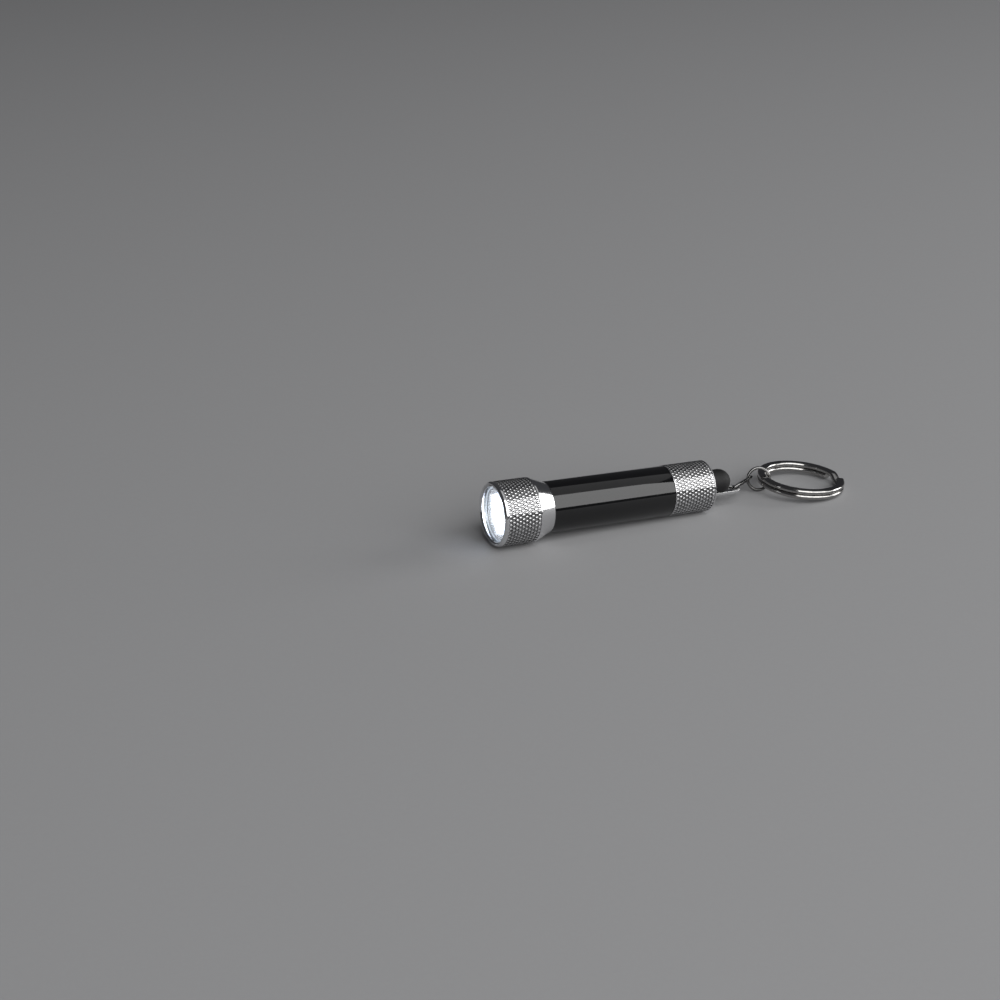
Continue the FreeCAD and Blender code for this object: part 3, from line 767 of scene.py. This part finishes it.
class FLASHLIGHT_OT_head(bpy.types.Operator):
    """Turn the head shell and cut its knurling"""
    bl_idname = "flashlight.head"
    bl_label = "Head"

    def execute(self, context):
        settings = context.scene.flashlight_head
        metal = finish("head_metal", settings.colour, dimmed(settings.colour, 0.72), 0.13,
                       lines=11000.0, relief=0.10, marks=0.25, wear=(0.9, 0.9, 0.9))
        knurl = knurl_finish("head_knurl", settings.colour)
        root = HEAD_RADIUS - settings.depth
        band_end = settings.start + settings.rows * settings.row_pitch
        shell = turned("head_body", HEAD_SEGMENTS, [
            (0.0, FRONT_POCKET, SOFT),
            (0.0, HEAD_RADIUS - HEAD_BEVEL, ROUND),
            (HEAD_BEVEL, HEAD_RADIUS, WIDE),
            (settings.start - BAND_WALL, HEAD_RADIUS, HAIR),
            (settings.start + BAND_WALL, root, HAIR),
            (band_end - BAND_WALL, root, HAIR),
            (band_end + BAND_WALL, HEAD_RADIUS, FINE),
            (KNURL_END, HEAD_RADIUS, SOFT),
            (HEAD_END, BARREL_RADIUS, FINE),
            (HEAD_END, HEAD_BORE, FINE),
            (BOARD_BACK, HEAD_BORE, 0.0),
            (BOARD_BACK, REAR_POCKET, 0.0),
            (SHELF, REAR_POCKET, 0.0),
            (SHELF, FRONT_POCKET, 0.0)])
        shell.data.materials.append(metal)
        knurled(shell, settings, HEAD_RADIUS, settings.start, knurl)
        install(shell, "head", ["head_shell"])
        return {"FINISHED"}


class FLASHLIGHT_OT_front(bpy.types.Operator):
    """Fit the bezel ring, the lens and the reflector"""
    bl_idname = "flashlight.front"
    bl_label = "Bezel, Lens and Reflector"

    def execute(self, context):
        colour = context.scene.flashlight_head.colour
        bright = [min(1.0, channel) for channel in dimmed(colour, 1.04)]
        bezel = finish("bezel_metal", bright, dimmed(colour, 0.8), 0.10,
                       lines=14000.0, relief=0.08, marks=0.15)
        mirror = finish("reflector_mirror", (0.93, 0.93, 0.94), (0.80, 0.80, 0.82), 0.20,
                        grain=1500.0, relief=0.10, marks=0.10)
        clear = clear_finish("lens_clear", (0.97, 0.985, 1.0), 1.49)
        install_copy("bezel", "bezel_ring", 0.06 * MM, "head", bezel)
        install_copy("reflector_cup", "reflector", 0.05 * MM, "head", mirror)
        install_copy("lens_disc", "lens", 0.08 * MM, "lens_carriage", clear)
        return {"FINISHED"}


class FLASHLIGHT_OT_lamps(bpy.types.Operator):
    """Make the three lit emitters"""
    bl_idname = "flashlight.lamps"
    bl_label = "Emitters"

    def execute(self, context):
        settings = context.scene.flashlight_lamp
        lit = lamp_finish("lamp_epoxy", settings.glow, settings.strength)
        names = [name for name in NODES if name.startswith("led_") and NODE_SLOT[name] == "led_epoxy"]
        if not names:
            raise RuntimeError("the packed model has no emitters")
        for name in names:
            low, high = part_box(name)
            flange = (high.z - low.z) / 2
            radius = flange - LAMP_FLANGE
            centre_x = low.x + radius
            profile = [(low.x, 0.0, 1.0)]
            for step in range(1, LAMP_STEPS + 1):
                angle = math.pi / 2 * step / LAMP_STEPS
                profile.append((centre_x - radius * math.cos(angle), radius * math.sin(angle),
                                1.0 - math.sin(angle) * 0.95))
            flange_x = high.x - 0.85 * MM
            profile += [(centre_x + 1.2 * MM, radius, 0.35), (flange_x, radius, 0.2), (flange_x, flange, 0.0),
                        (high.x - LAMP_CHAMFER, flange, 0.0), (high.x, flange - LAMP_CHAMFER, 0.0),
                        (high.x, 0.0, 0.0)]
            mesh = lathe(name, profile, LAMP_SEGMENTS, (low.y + high.y) / 2, (low.z + high.z) / 2)
            piece = new_piece("lamp" + name[-2:], mesh)
            install(piece, "head", [name], [lit])
        return {"FINISHED"}


class FLASHLIGHT_OT_barrel(bpy.types.Operator):
    """Turn the barrel with its threaded neck and mouth"""
    bl_idname = "flashlight.barrel"
    bl_label = "Barrel"

    def execute(self, context):
        settings = context.scene.flashlight_barrel
        coat = finish("barrel_gloss", settings.colour, (0.008, 0.008, 0.009), 0.05, metallic=0.0, grain=2500.0,
                      relief=0.03, marks=0.35, wear=(0.10, 0.10, 0.105), wear_amount=0.5, spread=0.03,
                      sockets={"IOR": 1.5, "Coat Weight": 0.2, "Coat Roughness": 0.03})
        bare = thread_finish()
        root = NECK_RADIUS - THREAD_DEPTH
        groove_root = NECK_RADIUS - NECK_GROOVE_DEPTH
        groove_end = NECK_GROOVE + GROOVE_WIDTH
        shoulder = HEAD_END + BAND_WALL
        body = turned("barrel_tube", HEAD_SEGMENTS, [
            (NECK_FRONT, NECK_BORE, 0.08 * MM),
            (NECK_FRONT, root, WIDE),
            (NECK_THREAD_END, root, 0.0),
            (NECK_THREAD_END + RUN_OUT, NECK_RADIUS, FINE),
            (NECK_GROOVE, NECK_RADIUS, FINE),
            (NECK_GROOVE, groove_root, HAIR),
            (groove_end, groove_root, HAIR),
            (groove_end, NECK_RADIUS, FINE),
            (shoulder, NECK_RADIUS, HAIR),
            (shoulder, BARREL_RADIUS, ROUND),
            (BARREL_END, BARREL_RADIUS, ROUND),
            (BARREL_END, MOUTH_BORE, 0.06 * MM),
            (MOUTH_FRONT, MOUTH_BORE, 0.0),
            (MOUTH_FRONT, BARREL_BORE, 0.0),
            (STOP_BACK, BARREL_BORE, 0.0),
            (STOP_BACK, NECK_BORE, 0.0)])
        for material in (coat, bare):
            body.data.materials.append(material)
        for face in body.data.polygons:
            middle = face.center
            off_axis = math.hypot(middle.y, middle.z)
            face.material_index = 1 if off_axis < BARREL_RADIUS - 0.45 * MM else 0
        threaded(body, NECK_RADIUS, NECK_FRONT + 0.35 * MM, NECK_THREAD_LENGTH, settings.thread_pitch, bare)
        install(body, "barrel", ["barrel"])
        return {"FINISHED"}


class FLASHLIGHT_OT_cap(bpy.types.Operator):
    """Turn the tail cap, knurl it and thread its spigot"""
    bl_idname = "flashlight.cap"
    bl_label = "Tail Cap"

    def execute(self, context):
        settings = context.scene.flashlight_cap
        metal = finish("cap_metal", settings.colour, dimmed(settings.colour, 0.72), 0.15,
                       lines=11000.0, relief=0.10, marks=0.25, wear=(0.9, 0.9, 0.9))
        knurl = knurl_finish("cap_knurl", settings.colour)
        bare = thread_finish()
        root = CAP_RADIUS - settings.depth
        start = CAP_FRONT + settings.start
        band_end = start + settings.rows * settings.row_pitch
        thread_root = SPIGOT_RADIUS - THREAD_DEPTH
        groove_root = SPIGOT_RADIUS - CAP_GROOVE_DEPTH
        groove_end = CAP_GROOVE + GROOVE_WIDTH
        cap = turned("cap_body", CAP_SEGMENTS, [
            (SPIGOT_FRONT, SPIGOT_BORE, 0.06 * MM),
            (SPIGOT_FRONT, thread_root, WIDE),
            (SPIGOT_THREAD_END, thread_root, 0.0),
            (SPIGOT_THREAD_END + RUN_OUT, SPIGOT_RADIUS, HAIR),
            (CAP_GROOVE, SPIGOT_RADIUS, HAIR),
            (CAP_GROOVE, groove_root, 0.0),
            (groove_end, groove_root, 0.0),
            (groove_end, SPIGOT_RADIUS, HAIR),
            (CAP_FRONT, SPIGOT_RADIUS, 0.0),
            (CAP_FRONT, CAP_RADIUS, FINE),
            (start, CAP_RADIUS, 0.0),
            (start + RUN_OUT, root, 0.0),
            (band_end - BAND_WALL, root, HAIR),
            (band_end + BAND_WALL, CAP_RADIUS, 0.04 * MM),
            (CAP_END - CAP_CHAMFER, CAP_RADIUS, SOFT),
            (CAP_END, CAP_RADIUS - CAP_CHAMFER, ROUND),
            (CAP_END, CAP_OPENING, 0.08 * MM),
            (LUG_REAR, CAP_OPENING, 0.0),
            (LUG_REAR, SPIGOT_BORE, 0.0)])
        for material in (metal, bare):
            cap.data.materials.append(material)
        for face in cap.data.polygons:
            if face.center.x < CAP_FRONT - 0.01 * MM:
                face.material_index = 1
        knurled(cap, settings, CAP_RADIUS, start, knurl)
        pitch = context.scene.flashlight_barrel.thread_pitch
        threaded(cap, SPIGOT_RADIUS, SPIGOT_FRONT + 0.3 * MM, SPIGOT_THREAD_LENGTH, pitch, bare)
        install(cap, "tail", ["tail_cap"])
        return {"FINISHED"}


class FLASHLIGHT_OT_button(bpy.types.Operator):
    """Fit the rubber push button, its flange and the steel lug"""
    bl_idname = "flashlight.button"
    bl_label = "Push Button and Lug"

    def execute(self, context):
        rubber = finish("boot_rubber", (0.004, 0.004, 0.0045), (0.012, 0.012, 0.012), 0.62, metallic=0.0,
                        grain=5200.0, relief=0.8, marks=0.6, spread=0.16, sockets={"IOR": 1.38})
        steel = finish("lug_steel", (0.72, 0.72, 0.73), (0.48, 0.48, 0.49), 0.16,
                       grain=3500.0, relief=0.15, marks=0.5)
        install_copy("boot_dome", "button_dome", 0.12 * MM, "button", rubber, 3)
        install_copy("boot_ring", "boot_flange", 0.06 * MM, "tail", rubber)
        install_copy("lug_plate", "ring_lug", 0.14 * MM, "tail", steel, 3)
        return {"FINISHED"}


def chain_places():
    """The chain's middle points and directions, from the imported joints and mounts."""
    hole = Vector(JOINTS["link_swing"]["pos_m"])
    limb = Vector(JOINTS["jump_ring_swing"]["pos_m"])
    jump = Vector(JOINTS["split_ring_swing"]["pos_m"])
    jump_axis = Vector(JOINTS["split_ring_swing"]["axis"]).normalized()
    mount = next(m for m in frame["record"]["mounts"] if m["name"] == "key_ring")
    return hole, limb, jump, jump_axis, Vector(mount["pos_m"]), Vector(mount["axis"]).normalized()


class FLASHLIGHT_OT_chain(bpy.types.Operator):
    """Bend the link, the jump ring and the split ring"""
    bl_idname = "flashlight.chain"
    bl_label = "Link and Rings"

    def execute(self, context):
        settings = context.scene.flashlight_chain
        nickel = finish("ring_plate", settings.colour, dimmed(settings.colour, 0.5), 0.14, grain=1400.0,
                        relief=0.25, marks=0.5, wear=(0.6, 0.58, 0.55), wear_amount=0.5)
        chrome = finish("chain_plate", dimmed(settings.colour, 0.55), dimmed(settings.colour, 0.2), 0.12,
                        grain=2600.0, relief=0.2, marks=0.5)
        hole, limb, jump, jump_axis, ring, ring_axis = chain_places()
        self.make_link(settings, hole, limb, chrome)
        self.make_jump_ring(settings, limb, jump, jump_axis, chrome)
        self.make_split_ring(settings, jump, ring, ring_axis, nickel)
        return {"FINISHED"}

    def make_link(self, settings, hole, limb, chrome):
        """The oval link, from the lug's hole round the jump ring's near side."""
        heading = Vector((limb.x - hole.x, limb.y - hole.y, 0.0)).normalized()
        start = hole + heading * LINK_REACH
        direction = (limb - start).normalized()
        end = limb + direction * ((settings.wire + settings.ring_wire) / 2 + LINK_PLAY)
        rest_up = Vector((-math.sin(REST_SLOPE), 0.0, math.cos(REST_SLOPE)))
        across = rest_up.cross(direction).normalized()
        normal = (direction.cross(across) + across).normalized()
        side = normal.cross(direction)
        middle = (start + end) / 2
        half = (end - start).length / 2 - LINK_BEND
        path = []
        for end_sign in (1, -1):
            for step in range(LINK_STEPS):
                angle = math.pi * (step / (LINK_STEPS - 1)) - end_sign * math.pi / 2
                path.append(middle + direction * (end_sign * half + LINK_BEND * math.cos(angle))
                            + side * LINK_BEND * math.sin(angle))
        seam = [path[-1].lerp(path[0], share) for share in (0.0, 0.25, 0.485)]
        rest = [path[-1].lerp(path[0], share) for share in (0.515, 0.75)]
        mesh = sweep("chain_link_wire", rest + path + seam[1:], normal, round_section(settings.wire / 2), False)
        install(new_piece("link_wire", mesh, 50.0), "link", ["chain_link"], [chrome])

    def make_jump_ring(self, settings, limb, jump, jump_axis, chrome):
        """The round wire ring, with the seam where its ends meet."""
        inward = (limb - jump).normalized()
        side = jump_axis.cross(inward)
        path = []
        for step in range(JUMP_STEPS + 1):
            angle = math.radians(JUMP_START + JUMP_SWEEP * step / JUMP_STEPS)
            path.append(jump + (inward * math.cos(angle) + side * math.sin(angle)) * settings.jump_radius)
        mesh = sweep("jump_ring_wire", path, jump_axis, round_section(settings.ring_wire / 2), False)
        install(new_piece("jump_wire", mesh, 50.0), "jump_ring", ["jump_ring"], [chrome])

    def make_split_ring(self, settings, jump, ring, ring_axis, nickel):
        """Two coils of one flat wire: the lower coil, the step up and the upper coil."""
        along = ring - jump
        along = (along - ring_axis * along.dot(ring_axis)).normalized()
        side = ring_axis.cross(along)
        mean = settings.split_radius - settings.split_width / 2
        level = (settings.coil_height + settings.coil_gap) / 2
        path = []
        for step in range(COIL_STEPS + 1):
            degrees = COIL_FIRST + (COIL_LAST - COIL_FIRST) * step / COIL_STEPS
            share = min(1.0, max(0.0, (degrees - CLIMB_START) / (CLIMB_END - CLIMB_START)))
            height = level * (2 * share * share * (3 - 2 * share) - 1)
            angle = math.radians(degrees)
            path.append(ring + (along * math.cos(angle) + side * math.sin(angle)) * mean + ring_axis * height)
        across, tall = settings.split_width / 2 - RING_EDGE, settings.coil_height / 2 - RING_EDGE
        section = []
        for centre_x, centre_y, turn in ((1, 1, 0), (-1, 1, 90), (-1, -1, 180), (1, -1, 270)):
            for part in range(EDGE_STEPS + 1):
                angle = math.radians(turn + 90 * part / EDGE_STEPS)
                section.append((centre_x * across + RING_EDGE * math.cos(angle),
                                centre_y * tall + RING_EDGE * math.sin(angle)))
        corner = [0.0 if part in (0, EDGE_STEPS) else 1.0 for part in range(EDGE_STEPS + 1)]
        marks = corner * 4 * (COIL_STEPS + 1)
        mesh = sweep("split_ring_wire", path, ring_axis, section, False, marks)
        install(new_piece("key_ring_wire", mesh, 50.0), "split_ring", ["split_ring"], [nickel])


class FLASHLIGHT_OT_inner(bpy.types.Operator):
    """Give the parts inside their finishes"""
    bl_idname = "flashlight.inner"
    bl_label = "Inner Parts"

    def execute(self, context):
        finishes = {
            "rubber": finish("seal_rubber", (0.015, 0.015, 0.016), (0.03, 0.03, 0.03), 0.5, metallic=0.0,
                             grain=4200.0, relief=0.5, spread=0.12),
            "lead_tin": finish("lead_tin", (0.72, 0.72, 0.73), (0.5, 0.5, 0.51), 0.25, relief=0.3),
            "board": finish("board_mask", (0.02, 0.13, 0.05), (0.012, 0.07, 0.03), 0.32, metallic=0.0,
                            grain=1600.0, relief=0.3, sockets={"Coat Weight": 0.4}),
            "resistor": finish("resistor_body", (0.02, 0.02, 0.022), (0.06, 0.06, 0.06), 0.4, metallic=0.0,
                               relief=0.3),
            "inner_plastic": finish("inner_plastic", (0.03, 0.03, 0.032), (0.06, 0.06, 0.062), 0.38,
                                    metallic=0.0, grain=3800.0, relief=0.35),
            "white_plastic": finish("white_plastic", (0.78, 0.78, 0.75), (0.66, 0.65, 0.60), 0.42, metallic=0.0,
                                    grain=3200.0, relief=0.3),
            "spring_steel": finish("spring_steel", (0.66, 0.66, 0.66), (0.45, 0.45, 0.45), 0.22, relief=0.25),
            "cell_steel": finish("cell_steel", (0.74, 0.74, 0.73), (0.58, 0.58, 0.57), 0.2,
                                 grain=2600.0, relief=0.15),
            "cap_aluminium": finish("ring_metal", (0.7, 0.7, 0.71), (0.5, 0.5, 0.51), 0.26,
                                    lines=9000.0, relief=0.2),
            "brass": finish("contact_brass", (0.78, 0.58, 0.26), (0.52, 0.36, 0.15), 0.24, relief=0.2),
        }
        silicone = finish("pale_silicone", (0.82, 0.84, 0.86), (0.70, 0.72, 0.74), 0.4, metallic=0.0,
                          grain=3000.0, relief=0.3)
        for name, node in NODES.items():
            if node.hide_render:
                continue
            coat = silicone if name == "lens_seal" else finishes.get(NODE_SLOT[name])
            if coat is None:
                raise RuntimeError("no finish for %s" % name)
            node.data.materials.clear()
            node.data.materials.append(coat)
        self.make_return_spring(finishes["spring_steel"])
        return {"FINISHED"}

    def make_return_spring(self, coat):
        """The switch's return spring, a plain copy of its CAD node on the tail."""
        spring = install_copy("return_coil", "return_spring", 0.0, "tail", coat)
        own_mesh(spring)


class FLASHLIGHT_OT_stage(bpy.types.Operator):
    """Set the floor, the soft lights and the camera"""
    bl_idname = "flashlight.stage"
    bl_label = "Stage"

    def execute(self, context):
        settings = context.scene.flashlight_stage
        self.make_floor(settings)
        self.make_light("front_softbox", (0.55, -1.0, 1.28), (0.55, 0.0, 1.28), 2.3, 2.16, 46.0)
        self.make_light("side_softbox", (2.6, -0.4, 0.92), (0.0, -0.4, 0.92), 1.5, 1.45, 34.0)
        self.make_light("overhead_panel", (1.05, -0.075, 2.0), (1.05, -0.075, 0.0), 1.1, 1.55, 2.3)
        self.make_world()
        self.make_camera(context, settings)
        context.scene.view_settings.view_transform = "Standard"
        return {"FINISHED"}

    def make_floor(self, settings):
        """A plain pale floor that the head and the cap rest on."""
        corner = Vector((KNURL_END, 0.0, -HEAD_RADIUS))
        along = Vector((math.cos(REST_SLOPE), 0.0, math.sin(REST_SLOPE))) * FLOOR_REACH
        across = Vector((0.0, FLOOR_REACH, 0.0))
        verts = [corner + along * x + across * y for x, y in ((-1, -1), (1, -1), (1, 1), (-1, 1))]
        mesh = bpy.data.meshes.new("floor")
        mesh.from_pydata(verts, [], [(0, 1, 2, 3)])
        floor = bpy.data.objects.new("floor", mesh)
        bpy.context.scene.collection.objects.link(floor)
        matt = finish("floor_matt", settings.floor_colour, dimmed(settings.floor_colour, 0.97), 0.75,
                      metallic=0.0, grain=900.0, relief=0.02, marks=0.1, spread=0.04,
                      sockets={"Specular IOR Level": 0.2})
        mesh.materials.append(matt)

    def make_light(self, name, place, target, width, height, power):
        """A soft rectangular light that faces a target."""
        lamp = bpy.data.lights.new(name, "AREA")
        lamp.shape = "RECTANGLE"
        lamp.size = width
        lamp.size_y = height
        lamp.energy = power
        light = bpy.data.objects.new(name, lamp)
        back = (Vector(place) - Vector(target)).normalized()
        right = Vector((0.0, 1.0, 0.0)) if abs(back.x) > 0.9 else Vector((1.0, 0.0, 0.0))
        right = (right - back * right.dot(back)).normalized()
        turn = Matrix((right, back.cross(right), back)).transposed()
        light.matrix_world = Matrix.Translation(place) @ turn.to_4x4()
        light.visible_camera = False
        bpy.context.scene.collection.objects.link(light)

    def make_world(self):
        """A dim even surround."""
        world = bpy.data.worlds.new("studio")
        world.use_nodes = True
        tree = world.node_tree
        feed(tree, tree.nodes["Background"], {"Color": (0.9, 0.92, 1.0, 1.0), "Strength": 0.05})
        bpy.context.scene.world = world

    def make_camera(self, context, settings):
        """The camera, low in front and to the left of the head."""
        lens = bpy.data.cameras.new("camera")
        lens.lens = settings.focal
        lens.sensor_width = 36.0
        lens.clip_start = 0.01
        lens.clip_end = 50.0
        camera = bpy.data.objects.new("camera", lens)
        right = Vector((0.90816, -0.41733, 0.03285))
        up = Vector((0.12312, 0.34128, 0.93186))
        back = right.cross(up)
        turn = Matrix((right, up, back)).transposed()
        camera.matrix_world = Matrix.Translation((-0.21794, -0.46330, 0.20264)) @ turn.to_4x4()
        bpy.context.scene.collection.objects.link(camera)
        context.scene.camera = camera


class FLASHLIGHT_PT_panel(bpy.types.Panel):
    """Steps that build the flashlight"""
    bl_idname = "FLASHLIGHT_PT_panel"
    bl_label = "Flashlight"
    bl_space_type = "VIEW_3D"
    bl_region_type = "UI"
    bl_category = "Flashlight"

    def draw(self, context):
        for operator in OPERATORS:
            self.layout.operator(operator.bl_idname)
        for name, group in SETTINGS:
            box = self.layout.box()
            for key in group.__annotations__:
                box.prop(getattr(context.scene, name), key)


OPERATORS = (
    FLASHLIGHT_OT_stage, FLASHLIGHT_OT_head, FLASHLIGHT_OT_front, FLASHLIGHT_OT_lamps, FLASHLIGHT_OT_barrel,
    FLASHLIGHT_OT_cap, FLASHLIGHT_OT_button, FLASHLIGHT_OT_chain, FLASHLIGHT_OT_inner)


def register():
    for name, group in SETTINGS:
        bpy.utils.register_class(group)
        setattr(bpy.types.Scene, name, PointerProperty(type=group))
    for operator in OPERATORS:
        bpy.utils.register_class(operator)
    bpy.utils.register_class(FLASHLIGHT_PT_panel)


def unregister():
    bpy.utils.unregister_class(FLASHLIGHT_PT_panel)
    for operator in reversed(OPERATORS):
        bpy.utils.unregister_class(operator)
    for name, group in reversed(SETTINGS):
        delattr(bpy.types.Scene, name)
        bpy.utils.unregister_class(group)


def main():
    register()
    flashlight = bpy.ops.flashlight
    for step in (flashlight.stage, flashlight.head, flashlight.front, flashlight.lamps, flashlight.barrel,
                 flashlight.cap, flashlight.button, flashlight.chain, flashlight.inner):
        step()


if __name__ == "__main__":
    main()
